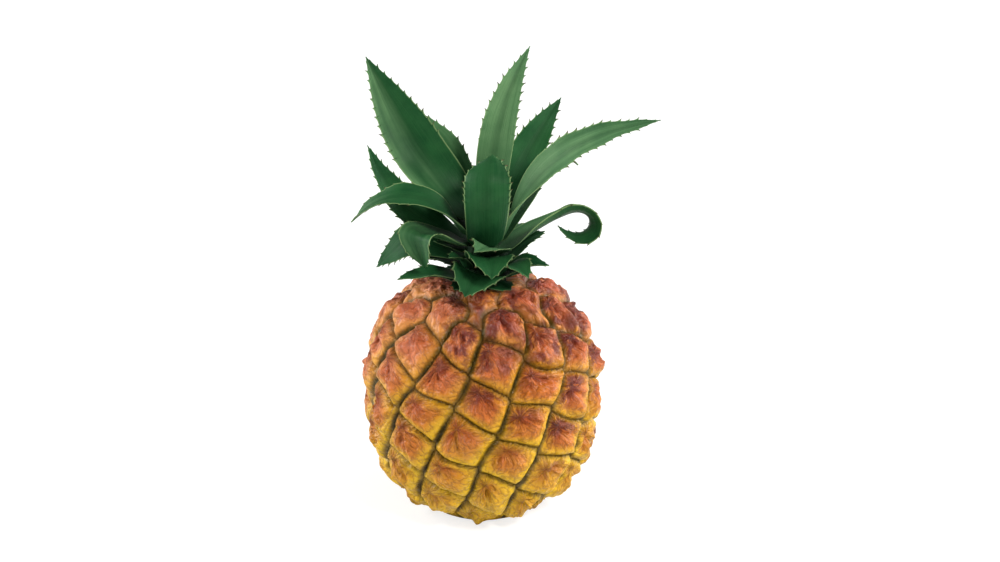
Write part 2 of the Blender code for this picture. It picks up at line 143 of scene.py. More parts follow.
# Where the skin is stained, and how dark the painted shade in its grooves is
RIPE_SIDE, RIPE_FROM, RIPE_RISE = 0.9, 0.025, 0.075
STAIN_FROM, STAIN_RISE = -0.15, 0.5
STAIN_EDGE, STAIN_EDGE_WIDTH, STAIN_EDGE_LOSS = 0.75, 0.2, 0.7
BLUSH_SIDE, BLUSH_SIDE_WIDTH = -0.030, 0.020
BLUSH_HEIGHT, BLUSH_RISE = 0.080, 0.014
BLUSH_LEVEL, BLUSH_PATCHES, BLUSH_WAVE = 0.70, 0.25, 0.010
GROOVE_FROM, GROOVE_WIDTH = 0.83, 0.12
GROOVE_LEAST = 0.42
GROOVE_LEVEL, GROOVE_BREAKS, GROOVE_WAVE = 0.75, 0.25, 0.012
GROOVE_NECK_LOSS = 0.5

# Crown leaves
TAB_DEPTH = 0.0032
TAB_WIDTH = 0.0054
TAB_THICKNESS = 0.0016
HEEL_LENGTH = 0.005
LEAF_GUTTER = 0.30
LEAF_FLARE = 1.0
LEAF_WAIST = 0.28
LEAF_TIP_SHARE = 0.6
CLASP_FULL = 0.003
CLASP_LENGTH = 0.018
TWIST_BY = 0.45
TIP_WIDTH = 0.0004
SPINE_PITCH = 0.0042
SPINE_LENGTH = 0.0015
SPINE_LEAN = 0.0013
SPINE_FULL_AT = 0.0028
SPINES_FROM = 0.38
SPINES_RISE = 0.15
SPINE_SIZES = (0.45, 1.15)
SPINE_THINNING = 0.7
SPINE_SHAPE = ((0.0, 0.0), (0.2, 0.12), (0.36, 0.45), (0.46, 1.0), (0.52, 0.0), (0.76, 0.0))
BLADE_COLUMNS = 15
COLUMN_POWER = 0.8
EDGE_THINNING = 0.72
TAB_GAP = 0.0002
EDGE_WAVE = 0.0005
EDGE_WAVE_LENGTH = 0.019
MIDRIB_DEPTH = 0.0004
MIDRIB_WIDTH = 0.16
PALE_TIP_FROM = 0.4
PATH_SAMPLES = 801
SEED_STEP = 0.37


class Blade(NamedTuple):
    """A leaf's own values: lengths in millimetres, angles in degrees, shares of its length and how pale it is, partly
    its bloom and partly painted light and shade.
    """

    length: float
    width: float
    rise: float
    bend: float
    bend_from: float
    bend_to: float
    sweep: float
    twist: float
    widest: float
    upper_tone: float
    under_tone: float
    edge_tone: float
    tip_tone: float


# The four tones of each leaf make its faces, edges and tip paler or darker: partly its bloom, partly painted light and
# shade
LEAVES = {
    "leaf_left_tall": Blade(91, 24, 38, -20, 0.0, 1.0, 12, -46, 0.45, 0.22, 0.5, 0.45, 0.0),
    "leaf_back_left_recurved": Blade(67, 16, 50, 25, 0.4, 1.0, 22, -20, 0.50, 0.3, 0.5, 0.0, 0.3),
    "leaf_centre_tall": Blade(81, 16, 92, 46, 0.0, 1.0, -10, 30, 0.40, 0.8, 0.7, 0.15, 0.0),
    "leaf_right_upright": Blade(66, 16, 57, 20, 0.0, 1.0, 1, 45, 0.45, -0.15, 0.3, 0.0, 0.0),
    "leaf_right_long": Blade(103, 16, 67, 50, 0.0, 1.0, 7, 40, 0.45, 0.7, 0.8, 0.0, -0.3),
    "leaf_left_arch": Blade(69, 15, 60, 108, 0.0, 1.0, -58, -15, 0.50, 0.0, 0.6, 0.0, 0.5),
    "leaf_left_slim": Blade(68, 15, 24, -46, 0.1, 1.0, 19, -46, 0.42, 0.05, 0.3, 0.2, 0.0),
    "leaf_left_folded": Blade(48, 20, 23, 134, 0.53, 0.67, 48, 0, 0.50, 0.3, 0.4, 0.0, 0.0),
    "leaf_front_broad": Blade(63, 21, 67, -118, 0.42, 0.95, -19, -3, 0.65, 0.0, -0.25, 0.0, 0.45),
    "leaf_left_droop": Blade(52, 17, 21, 66, 0.2, 0.75, -20, -46, 0.50, 0.0, 0.2, 0.0, 0.0),
    "leaf_left_low": Blade(34, 14, 18, 24, 0.0, 1.0, -6, 0, 0.45, 0.0, 0.2, 0.0, 0.0),
    "leaf_right_curl": Blade(73, 19, 26, 250, 0.45, 1.0, -26, -22, 0.40, 0.6, 0.15, 0.0, -0.3),
    "leaf_front_small": Blade(26, 18, 41, 42, 0.45, 0.85, -84, -5, 0.55, 0.6, 0.65, 0.0, 0.0),
    "leaf_front_low": Blade(30, 24, 56, 94, 0.1, 0.95, -36, -10, 0.50, 0.0, 0.6, 0.2, 0.0),
    "leaf_front_mid": Blade(32, 22, 48, 74, 0.1, 0.95, -5, -6, 0.50, 0.0, 0.3, 0.0, 0.0),
    "leaf_front_right_low": Blade(28, 21, 56, 82, 0.1, 1.0, 5, -8, 0.45, 0.0, 0.3, 0.0, 0.0),
    "leaf_right_low": Blade(25, 18, 48, 58, 0.0, 1.0, 8, 0, 0.40, 0.0, 0.3, 0.0, 0.0),
    "leaf_front_left_low": Blade(17, 9.5, 72, 62, 0.1, 0.95, -6, -5, 0.50, 0.0, 0.3, 0.0, 0.0),
    "leaf_right_short": Blade(28, 16, 48, 42, 0.0, 1.0, 16, 0, 0.40, 0.1, 0.3, 0.0, 0.0),
    "leaf_back_right_hooked": Blade(66, 15, 48, 92, 0.5, 1.0, 0, 10, 0.42, 0.3, 0.5, 0.0, 0.0),
    "leaf_back_low": Blade(44, 18, 38, 60, 0.1, 1.0, 0, 0, 0.40, 0.2, 0.4, 0.0, 0.0),
    "leaf_back_left_low": Blade(48, 18, 28, 70, 0.1, 1.0, -2, -10, 0.40, 0.2, 0.4, 0.0, 0.0),
}

# Small scales that stand still on the stem, in the gaps between the leaves and over the plug. One row for each:
# azimuth and height on the stem, then length, width, rise, bend, upper tone and under tone as for a leaf.
STEM_FOOT = 0.1126
STEM_RADIUS = 0.0061
STEM_TAPER = 0.0327
SCALE_WIDEST = 0.40
FIRST_SCALE_SEED = 40
SCALES = (
    (-94, 7.2, 20, 11, 26, 30, 0.0, 0.2),
    (-94, 15.2, 16, 8, 22, 10, 0.0, 0.2),
    (-112, 23.5, 14, 8, 56, 0, 0.0, 0.2),
    (186, 9.8, 15, 8.5, 66, 20, 0.2, 0.3),
    (-154, 11, 11.5, 7.5, 78, 6, 0.1, 0.2),
    (156, 6, 11, 6, 76, 6, 0.1, 0.2),
    (-145, 0.9, 13, 12, 14, 16, 0.1, 0.2),
    (-115, 0.9, 13, 12, 14, 16, 0.0, 0.2),
    (-90, 0.9, 12, 11, 14, 16, 0.1, 0.2),
    (-42, 0.9, 12, 12, 14, 16, 0.0, 0.2),
    (41, 0.9, 12, 12, 14, 16, 0.0, 0.2),
    (121, 0.9, 13, 12, 14, 16, 0.1, 0.2),
    (196, 0.9, 13, 12, 14, 16, 0.0, 0.2),
)

# Colours of the fruit's skin from its base to its neck, and what lies over them
SKIN_STOPS = (
    (0.0, (0.70, 0.440, 0.012)),
    (0.22, (0.64, 0.325, 0.014)),
    (0.45, (0.52, 0.175, 0.014)),
    (0.68, (0.50, 0.125, 0.014)),
    (0.88, (0.53, 0.140, 0.050)),
    (1.0, (0.44, 0.088, 0.034)),
)
SALMON = (0.62, 0.205, 0.092)
RUSSET = (0.36, 0.058, 0.016)
GOLD = (0.68, 0.43, 0.009)
CRIMSON = (0.12, 0.011, 0.009)
ROSE = (0.58, 0.19, 0.13)
# Brown painted shade laid along the creases of the eyes
CREASE_SHADE_BROWN = (0.13, 0.028, 0.005)
# Olive painted shade along the banks of the grooves
OLIVE_BANK_SHADE = (0.22, 0.125, 0.008)
# Olive of the grooves: partly their own colour, partly painted shade
OLIVE_GROOVE_SHADE = (0.070, 0.045, 0.003)

# Colours of the leaves, the stem, the beads and the floor. A pair is mottled from the one to the other.
LEAF_DARKS = (0.005, 0.048, 0.014), (0.015, 0.083, 0.024)
LEAF_PALES = (0.075, 0.180, 0.074), (0.120, 0.245, 0.106)
VEIN_GREEN = (0.028, 0.100, 0.034)
MIDRIB_GREEN = (0.010, 0.048, 0.015)
RIM_GREEN = (0.24, 0.36, 0.15)
SPINE_BROWN = (0.07, 0.045, 0.022)
# Painted shade at the foot of each leaf
FOOT_SHADE_GREEN = (0.005, 0.034, 0.011)
# The stem's greens are painted shade, as dark as the shade between the leaves
STEM_SHADE_GREENS = (0.005, 0.026, 0.009), (0.022, 0.062, 0.020)
BEAD_STEELS = (0.50, 0.50, 0.52), (0.62, 0.62, 0.63)
FLOOR_WHITE = (0.80, 0.80, 0.78)
FLOOR_GREYS = (0.32, 0.32, 0.32), (0.34, 0.34, 0.34)

# Beads: half the angle of the small flat at each pole
POLE_CAP = 0.02

# Studio
FLOOR_SIZE = 8.0
KEY_PLACE = (0.60, -0.85, 1.1)
KEY_SIZE = 0.22
KEY_POWER = 15.0
LEFT_PLACE = (-1.1, 0.20, 0.50)
RIGHT_PLACE = (1.1, 0.30, 0.50)
SIDE_SIZE = 0.8
SIDE_POWER = 17.0
KEY_COLOUR = (1.0, 0.97, 0.93)
WHITE = (1.0, 1.0, 1.0)
WORLD_STRENGTH = 0.36
FLOOR_GLOW = 0.76
GLOW_FROM, GLOW_FULL = 0.5, 2.0


def ease(share):
    """Goes smoothly from 0 to 1 as the share does, by a cubic that is level at both ends."""
    share = np.clip(share, 0.0, 1.0)
    return share * share * (3.0 - 2.0 * share)


def wander(points, wave, seed, waves=28):
    """Smooth noise of about unit size: a sum of cosine waves of random heading and phase, about one wavelength long."""
    draw = np.random.default_rng(seed)
    heading = draw.normal(size=(waves, 3))
    heading /= np.linalg.norm(heading, axis=1)[:, None]
    heading *= 2.0 * np.pi / wave * draw.uniform(0.6, 1.5, size=(waves, 1))
    phase = draw.uniform(0.0, 2.0 * np.pi, size=waves)
    return np.cos(points @ heading.T + phase).sum(axis=-1) * np.sqrt(2.0 / waves)


def random_share(number, salt):
    """A fixed random share from 0 to 1 for each whole number."""
    return np.modf(np.abs(np.sin(number * 12.9898 + salt * 78.233)) * 43758.5453)[0]


def ring_faces(rings, around):
    """Quads between rings of points that close on themselves, as indices."""
    first = np.arange(rings - 1)[:, None] * around
    here = np.arange(around)[None, :]
    after = (here + 1) % around
    corners = (first + here, first + after, first + around + after, first + around + here)
    return np.stack(corners, axis=-1).reshape(-1, 4)


def solid_piece(name, rings, material, body, nodes=(), marks=None):
    """A closed piece from rings of points: quads between rings and a flat face on the first and the last ring."""
    count, around = rings.shape[:2]
    points = rings.reshape(-1, 3)
    quads = ring_faces(count, around)
    a, b, c, d = (points[quads[:, k]] for k in range(4))
    inside_out = (np.einsum("ij,ij->i", a, np.cross(b, c)) + np.einsum("ij,ij->i", a, np.cross(c, d))).sum() < 0
    caps = [np.arange(around)[::-1], np.arange(around) + (count - 1) * around]
    if inside_out:
        quads = quads[:, ::-1]
        caps = [cap[::-1] for cap in caps]
    corners = np.concatenate([quads.ravel(), *caps])
    starts = np.concatenate([np.arange(len(quads)) * 4, len(quads) * 4 + np.array([0, around])])
    mesh = bpy.data.meshes.new(name)
    mesh.vertices.add(len(points))
    mesh.vertices.foreach_set("co", points.astype(np.float32).ravel())
    mesh.loops.add(len(corners))
    mesh.loops.foreach_set("vertex_index", corners.astype(np.int32))
    mesh.polygons.add(len(starts))
    mesh.polygons.foreach_set("loop_start", starts.astype(np.int32))
    mesh.update(calc_edges=True)
    mesh.shade_smooth()
    mesh.set_sharp_from_angle(angle=np.radians(70))
    for label, values in (marks or {}).items():
        values = np.asarray(values, dtype=np.float32)
        kind, field = ("FLOAT_VECTOR", "vector") if values.ndim == 3 else ("FLOAT", "value")
        mesh.attributes.new(label, kind, "POINT").data.foreach_set(field, values.ravel())
    mesh.materials.append(material)
    made = bpy.data.objects.new(name, mesh)
    bpy.context.scene.collection.objects.link(made)
    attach(made, body)
    if nodes:
        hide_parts(*nodes)
    return made


def crest_profile(samples=4001):
    """Radius and height of the crest profile, two halves of superellipses, from the lower pole to the upper one."""
    turn = np.linspace(-np.pi / 2, np.pi / 2, samples)
    power = 2.0 / np.where(turn > 0, SHOULDER_POWER, BELLY_POWER)
    reach = np.where(turn > 0, SHOULDER_RISE, -BELLY_DROP)
    radius = FRUIT_RADIUS * np.abs(np.cos(turn)) ** power
    return radius, EQUATOR_HEIGHT + reach * np.abs(np.sin(turn)) ** power


def eye_drift(turn, radius, height):
    """How far the skin is carried along its ring and down its profile, so that the rows wander.

    Each is the sum of two waves that run round the fruit as they rise, and dies out towards the poles.
    """
    rise = 2.0 * np.pi * height / DRIFT_WAVE
    strength = EYE_DRIFT * ease((radius - DRIFT_FROM) / (DRIFT_FULL - DRIFT_FROM))
    along_ring = strength * (np.sin(5.0 * turn + rise) + np.sin(8.0 * turn - 1.3 * rise + 1.0))
    downwards = strength * (np.sin(6.0 * turn - rise + 2.0) + np.sin(9.0 * turn + 0.8 * rise))
    return along_ring, downwards


def before_drift(turn, place, run, radius, height):
    """Where points of the skin lay on the even spiral before the drift, by three passes of its inverse."""
    even_turn, even_place = turn, place
    for _ in range(DRIFT_PASSES):
        out, up = np.interp(even_place, run, radius), np.interp(even_place, run, height)
        along_ring, downwards = eye_drift(even_turn, out, up)
        even_turn = turn - along_ring / np.maximum(out, DRIFT_FROM)
        even_place = place + downwards
    return even_turn, even_place


def eye_cells(count, turn, radius, area):
    """The eye that each point of the skin belongs to.

    The distance to an eye is taken along the 8-row and the 13-row as a rounded square on the flanks and as plain
    distance near the poles. The 13-rows are sheared along each other, so that the grooves between them run on and
    those across are broken. Returns how near the edge of its eye a point lies, from 0 in the middle to 1 in the
    groove, its place across and up the eye, the number of the eye, and whether the groove runs on.
    """
    pitch = area / (2.0 * np.pi * np.maximum(radius, MM))
    square = ease((radius - TILE_FROM) / (TILE_FULL - TILE_FROM))
    side = np.sqrt(area)
    nearest = np.full(turn.shape, FAR_OFF)
    second = nearest.copy()
    across, up, number, runs_on = (np.zeros(turn.shape) for _ in range(4))
    for offset in range(-EYE_SEARCH, EYE_SEARCH + 1):
        eye = np.floor(count - FIRST_EYE_COUNT) + offset
        lag = count - FIRST_EYE_COUNT - eye
        swing = (turn - FIRST_EYE_AZIMUTH - EYE_TURN * eye + 180.0) % 360.0 - 180.0
        row_a = (ROW_B * swing - TURN_B * lag) / 360.0
        row_b = (TURN_A * lag - ROW_A * swing) / 360.0
        row_b = row_b + EYE_SHEAR * row_a
        right, down = np.radians(swing) * radius / side, lag * pitch / side
        tile = (np.abs(row_a) ** TILE_POWER + np.abs(row_b) ** TILE_POWER) ** (1.0 / TILE_POWER)
        gap = square * tile + (1.0 - square) * np.hypot(right, down)
        closer = gap < nearest
        second = np.where(closer, nearest, np.minimum(second, gap))
        nearest = np.where(closer, gap, nearest)
        across = np.where(closer, square * (row_a - row_b) + (1.0 - square) * POLE_STRETCH * right, across)
        up = np.where(closer, -square * (row_a + row_b) - (1.0 - square) * POLE_STRETCH * down, up)
        number = np.where(closer, eye, number)
        runs_on = np.where(closer, np.abs(row_a) - np.abs(row_b), runs_on)
    return np.clip(1.0 - (second - nearest), 0.0, 1.0), across, up, number, ease(0.5 + ROW_CHANGE * runs_on)


def eye_relief(edge, across, up, number, points, lumps):
    """How far the skin stands over the crest profile.

    A dome with steep walls into narrow grooves, its lower part proud and its upper part hollow. A lip lies round
    the lower side of the hollow and pleats run out from it. Finer folds hang from the top of the eye and grow
    fainter towards its lower edge, a little differently in each eye.
    """
    right = across - EYE_UNEVEN * (random_share(number, 2) - 0.5)
    over = up - HOLLOW_RISE - EYE_UNEVEN * (random_share(number, 3) - 0.5)
    reach = np.hypot(right, over)
    inner = 1.0 - edge**RELIEF_POWER
    fall = EYE_DOME * edge**DOME_POWER + EYE_WALL * ease((edge - WALL_FROM) / (1.0 - WALL_FROM))
    hollow = EYE_HOLLOW * np.exp(-((right / HOLLOW_WIDTH) ** 2) - (over / HOLLOW_HEIGHT) ** 2)
    angle = np.arctan2(right, over)
    pleats = np.cos(PLEATS_ROUND * angle + 2.0 * np.pi * random_share(number, 4))
    pleats = EYE_PLEATS * pleats * ease(reach / PLEATS_FULL)
    lip = EYE_LIP * np.exp(-(((reach - LIP_REACH) / LIP_WIDTH) ** 2)) * ease(0.5 - over / reach.clip(LIP_MIDDLE))
    lip = lip * random_share(number, 6)
    hang = np.hypot(right, up - FOLD_RISE)
    spread = np.arctan2(right, up - FOLD_RISE)
    fan = np.stack([np.sin(spread), np.cos(spread), number * FOLD_STEP + FOLD_CHANGE * hang], axis=-1)
    folds = EYE_FOLDS * wander(fan, FOLD_WAVE, 11) + EYE_CREASES * (0.5 - np.abs(wander(fan, CREASE_WAVE, 13)))
    fading = FOLDS_KEPT + (1.0 - FOLDS_KEPT) * ease((FOLDS_OUT - hang) / FOLDS_FADE)
    folds = folds * ease(hang / FOLDS_FULL) * fading
    lift = EYE_LIFT * (random_share(number, 1) - 0.5)
    lean = EYE_LEAN * (across * (random_share(number, 7) - 0.5) + up * (random_share(number, 8) - 0.5))
    rough = lumps * wander(points, LUMP_WAVE, 12)
    return (lip + folds + rough + lift + lean - hollow - EYE_TILT * up - pleats) * inner - fall


def skin_marks(flat, edge, across, up, number, runs_on, near_neck):
    """What the skin's material reads: place in the eye, nearness to its edge, stains and the painted shade in the
    grooves.

    Eyes stain towards the right and the top, in their upper part, and a patchy blush lies over the right shoulder.
    The painted shade in the grooves is darkest where a row runs on, with breaks, and faint near the neck.
    """
    side, height = flat[..., 0], flat[..., 2]
    ripe = ease((RIPE_SIDE * side + height - RIPE_FROM) / RIPE_RISE) * ease((random_share(number, 5) - 0.05) / 0.5)
    faded = 1.0 - STAIN_EDGE_LOSS * ease((edge - STAIN_EDGE) / STAIN_EDGE_WIDTH)
    stain = ripe * ease((up - STAIN_FROM) / STAIN_RISE) * faded
    blush = ease((side - BLUSH_SIDE) / BLUSH_SIDE_WIDTH) * ease((height - BLUSH_HEIGHT) / BLUSH_RISE)
    patches = (BLUSH_LEVEL + BLUSH_PATCHES * wander(flat, BLUSH_WAVE, 15)).clip(0.0, 1.0)
    broken = GROOVE_LEVEL + GROOVE_BREAKS * wander(flat, GROOVE_WAVE, 14)
    # Painted shade: how dark each groove is painted
    shade_depth = GROOVE_LEAST + (1.0 - GROOVE_LEAST) * runs_on * broken
    groove = ease((edge - GROOVE_FROM) / GROOVE_WIDTH) * shade_depth * (1.0 - GROOVE_NECK_LOSS * near_neck)
    eye = np.stack([across, up - FOLD_RISE, random_share(number, 5)], axis=-1)
    return {"edge": edge, "eye": eye, "stain": np.maximum(stain, blush * patches), "groove": groove}


def fruit_rings():
    """Rings of the fruit from the middle of its base up over the crest profile and down into the neck.

    Each point of the profile is moved along its normal by the relief of the eyes, which dies out at the rims.
    """
    crest_radius, crest_height = crest_profile()
    step = np.hypot(np.diff(crest_radius), np.diff(crest_height))
    run = np.concatenate([[0.0], np.cumsum(step)])
    middle = (crest_height[1:] + crest_height[:-1]) / 2.0
    cell = EYE_SIDE**2 * (1.0 - EYE_GROWTH * (middle - EQUATOR_HEIGHT) / SHOULDER_RISE)
    ring_area = np.pi * (crest_radius[1:] + crest_radius[:-1]) * step
    eyes = np.concatenate([[0.0], np.cumsum(ring_area / cell)])
    eyes = np.interp(EQUATOR_HEIGHT, crest_height, eyes) - eyes
    normal_out, normal_up = np.gradient(crest_height, run), -np.gradient(crest_radius, run)

    places = np.linspace(*np.interp([0.0, NECK_HEIGHT], crest_height, run), SKIN_RINGS)
    radius, height, level, lean = (
        np.interp(places, run, line)[:, None] for line in (crest_radius, crest_height, normal_out, normal_up)
    )
    facing = np.linspace(0.0, 2.0 * np.pi, SKIN_SIDES, endpoint=False)[None, :] + 0.0 * radius
    even_turn, even_place = before_drift(facing, places[:, None] + 0.0 * facing, run, crest_radius, crest_height)
    count, even_radius, even_height = (np.interp(even_place, run, line) for line in (eyes, crest_radius, crest_height))
    area = EYE_SIDE**2 * (1.0 - EYE_GROWTH * (even_height - EQUATOR_HEIGHT) / SHOULDER_RISE)
    edge, across, up, number, runs_on = eye_cells(count, np.degrees(even_turn), even_radius, area)
    flat = np.stack([radius * np.sin(facing), -radius * np.cos(facing), height + 0.0 * facing], axis=-1)
    above = height > EQUATOR_HEIGHT
    rim = np.where(above, radius[-1, 0], radius[0, 0])
    fade = ease((radius - rim) / np.where(above, NECK_FADE, BASE_FADE))
    fade = np.where(above, NECK_EYES * ease((radius - rim) / RIM_FADE) + (1.0 - NECK_EYES) * fade, fade)
    near_neck = np.where(above, 1.0 - ease((radius - rim) / NECK_FADE), 0.0)
    lumps = EYE_LUMPS + (NECK_LUMPS - EYE_LUMPS) * near_neck
    relief = eye_relief(edge, across, up, number, flat, lumps) * fade
    out, rise = radius + relief * level, height + relief * lean
    skin = np.stack([out * np.sin(facing), -out * np.cos(facing), rise], axis=-1)
    circle = np.stack([np.sin(facing[0]), -np.cos(facing[0]), 0.0 * facing[0]], axis=-1)
    low = [circle * share * radius[0, 0] for share in BASE_RINGS]
    upwards = np.array([0.0, 0.0, 1.0])
    neck = [
        circle * (RECESS_RADIUS + NECK_LIP) + upwards * NECK_HEIGHT,
        circle * RECESS_RADIUS + upwards * NECK_HEIGHT,
        circle * RECESS_RADIUS + upwards * (NECK_HEIGHT - RECESS_DEPTH),
    ]
    rings = np.concatenate([np.stack(low), skin, np.stack(neck)])
    order = np.concatenate([[0] * len(low), np.arange(SKIN_RINGS), [SKIN_RINGS - 1] * len(neck)])
    marks = skin_marks(flat, edge, across, up, number, runs_on, near_neck)
    return rings, {label: values[order] for label, values in marks.items()}


def blade_path(hinge, azimuth, blade, shares):
    """Points, directions and sideways directions of a blade's middle line at these shares of its length.

    The line leaves the slot level, rises over its heel, bends over between two shares and sweeps round as it goes.
    """
    fine = np.linspace(0.0, 1.0, PATH_SAMPLES)
    bent = ease((fine - blade.bend_from) / (blade.bend_to - blade.bend_from))
    elevation = blade.rise * ease(fine * blade.length * MM / HEEL_LENGTH) - blade.bend * bent
    elevation, heading = np.radians(elevation), np.radians(azimuth + blade.sweep * fine)
    along = np.stack(
        [np.cos(elevation) * np.sin(heading), -np.cos(elevation) * np.cos(heading), np.sin(elevation)], axis=1
    )
    steps = (along[1:] + along[:-1]) / 2.0 * blade.length * MM / (len(fine) - 1)
    points = np.concatenate([np.zeros((1, 3)), np.cumsum(steps, axis=0)])
    points += hinge + along[0] * TAB_DEPTH / 2.0
    level = np.stack([np.cos(heading), np.sin(heading), 0.0 * heading], axis=1)
    turn = np.radians(blade.twist * ease(fine / TWIST_BY))[:, None]
    across = level * np.cos(turn) + np.cross(along, level) * np.sin(turn)
    lines = (points, along, across)
    return [np.stack([np.interp(shares, fine, line[:, k]) for k in range(3)], axis=1) for line in lines]


def half_width(blade, shares):
    """Half the width of a blade: it flares from the tab, swells to its widest place and tapers to the tip."""
    length, full, widest = blade.length * MM, blade.width * MM / 2.0, blade.widest
    flare = TAB_WIDTH / 2.0 + LEAF_FLARE * shares * length
    swell = full * (1.0 - LEAF_WAIST * np.clip(1.0 - shares / widest, 0.0, 1.0) ** 2)
    taper = full * np.cos(np.clip((shares - widest) / (1.0 - widest), 0.0, 1.0) * np.pi / 2.0)
    return np.maximum(np.minimum(np.where(shares < widest, swell, taper), flare), TIP_WIDTH / 2.0)


def blade_gutter(points, along, width, run):
    """How far a blade's edges stand over its middle line, as a share of half its width.

    Near the stem the blade lies on a cone about it, so that the bases of the leaves nest. Further out it is a
    plain gutter.
    """
    clasp = width * np.abs(along[:, 2]) / (2.0 * np.hypot(points[:, 0], points[:, 1]))
    settle = ease((run - CLASP_FULL) / CLASP_LENGTH)
    return (clasp * (1.0 - settle) + LEAF_GUTTER * settle) * ease(run / CLASP_FULL)


def leaf_rings(hinge, azimuth, blade, seed):
    """Closed sections along a leaf, each an upper and an under row of points across the blade.

    The blade is a shallow gutter with a midrib, a slow wave along its edges and hooked spines that lean to the tip.
    """
    draw = np.random.default_rng(seed)
    length = blade.length * MM
    cells = int(np.ceil(length / SPINE_PITCH))
    phase, shape = np.array(SPINE_SHAPE).T
    shares = ((np.arange(cells)[:, None] + phase) / cells).ravel()
    spine = (shape * draw.uniform(*SPINE_SIZES, size=(cells, 1))).ravel()
    shares, spine = np.append(shares, 1.0), np.append(spine, 0.0)
    points, along, across = blade_path(hinge, azimuth, blade, shares)
    upper = np.cross(along, across)
    width = half_width(blade, shares)
    grow = ease((shares - SPINES_FROM) / SPINES_RISE) * np.minimum(1.0, width / SPINE_FULL_AT)
    place = np.linspace(-1.0, 1.0, BLADE_COLUMNS)
    place = np.sign(place) * np.abs(place) ** COLUMN_POWER
    rim = np.zeros(BLADE_COLUMNS)
    rim[[0, -1]] = 1.0
    side = np.sign(place)
    tooth = (spine * grow)[:, None] * rim
    reach = width[:, None] * place + SPINE_LENGTH * tooth * side
    lean = SPINE_LEAN * tooth
    gutter = (blade_gutter(points, along, width, shares * length) * width)[:, None] * place**2
    wave = draw.uniform(0.0, 6.0, size=2)[(place > 0).astype(int)]
    ripple = EDGE_WAVE * np.sin(2.0 * np.pi * shares[:, None] * length / EDGE_WAVE_LENGTH + wave)
    midrib = MIDRIB_DEPTH * np.exp(-((place / MIDRIB_WIDTH) ** 2)) * grow[:, None]
    lift = gutter + ripple * place**2 * grow[:, None] - midrib
    middle = points[:, None] + across[:, None] * reach[..., None] + along[:, None] * lean[..., None]
    middle = middle + upper[:, None] * lift[..., None]
    half = TAB_THICKNESS / 2.0 * (1.0 - LEAF_TIP_SHARE * shares)[:, None] * (1.0 - EDGE_THINNING * np.abs(place) ** 3)
    half = half * (1.0 - SPINE_THINNING * np.minimum(tooth, 1.0))
    top, under = middle + upper[:, None] * half[..., None], middle - upper[:, None] * half[..., None]
    rings = np.concatenate([top, under[:, ::-1]], axis=1)
    heel = rings[:1] - along[0] * (TAB_DEPTH - TAB_GAP)
    rings = np.concatenate([heel, rings])
    both = np.concatenate([place, place[::-1]])
    size = (len(rings), 2 * BLADE_COLUMNS)
    share_line = np.concatenate([[0.0], shares])[:, None] * length
    strip = np.stack(
        [np.broadcast_to(both, size), np.broadcast_to(share_line, size), np.full(size, seed * SEED_STEP)], axis=-1
    )
    tip = ease((share_line / length - PALE_TIP_FROM) / (1.0 - PALE_TIP_FROM))
    tone_and_light = np.repeat([blade.upper_tone, blade.under_tone], BLADE_COLUMNS)
    tone_and_light = tone_and_light + blade.edge_tone * both + blade.tip_tone * tip
    spines = np.concatenate([np.zeros((1, BLADE_COLUMNS)), tooth])
    spines = np.concatenate([spines, spines[:, ::-1]], axis=1)
    return rings, {"strip": strip, "tone_and_light": tone_and_light, "spine": spines}


def link(tree, source, target):
    """Wires one socket to another."""
    tree.links.new(source, target)


def set_or_link(tree, value, socket):
    """Wires a socket to a value that varies, or sets a constant on it."""
    if isinstance(value, bpy.types.NodeSocket):
        link(tree, value, socket)
    else:
        socket.default_value = value


def mixed(tree, factor, first, second):
    """A colour that goes from the first to the second with the factor."""
    node = tree.nodes.new("ShaderNodeMix")
    node.data_type = "RGBA"
    for value, index in ((factor, 0), (first, 6), (second, 7)):
        if isinstance(value, tuple):
            value = (*value, 1.0)
        set_or_link(tree, value, node.inputs[index])
    return node.outputs[2]


def ranged(tree, value, low, high, to_low=0.0, to_high=1.0):
    """A value that goes smoothly from one number to another between two marks."""
    node = tree.nodes.new("ShaderNodeMapRange")
    node.interpolation_type = "SMOOTHSTEP"
    names = ("Value", "From Min", "From Max", "To Min", "To Max")
    for name, source in zip(names, (value, low, high, to_low, to_high)):
        set_or_link(tree, source, node.inputs[name])
    return node.outputs["Result"]


def sums(tree, operation, *values):
    """A number worked out from others."""
    node = tree.nodes.new("ShaderNodeMath")
    node.operation = operation
    for value, socket in zip(values, node.inputs):
        set_or_link(tree, value, socket)
    return node.outputs[0]


def product(tree, *values):
    """The product of several numbers."""
    result = values[0]
    for value in values[1:]:
        result = sums(tree, "MULTIPLY", result, value)
    return result


def noise(tree, vector, scale, detail=3.0, roughness=0.55):
    """Cloudy noise at a place, from 0 to 1."""
    node = tree.nodes.new("ShaderNodeTexNoise")
    link(tree, vector, node.inputs["Vector"])
    node.inputs["Scale"].default_value = scale
    node.inputs["Detail"].default_value = detail
    node.inputs["Roughness"].default_value = roughness
    return node.outputs["Fac"]


def attribute(tree, name, output="Fac"):
    """A mark that the piece's points carry."""
    node = tree.nodes.new("ShaderNodeAttribute")
    node.attribute_name = name
    return node.outputs[output]


def split(tree, vector):
    """The three parts of a vector."""
    node = tree.nodes.new("ShaderNodeSeparateXYZ")
    link(tree, vector, node.inputs[0])
    return node.outputs


def joined(tree, x, y, z):
    """A vector of three parts."""
    node = tree.nodes.new("ShaderNodeCombineXYZ")
    for value, socket in zip((x, y, z), node.inputs):
        set_or_link(tree, value, socket)
    return node.outputs[0]


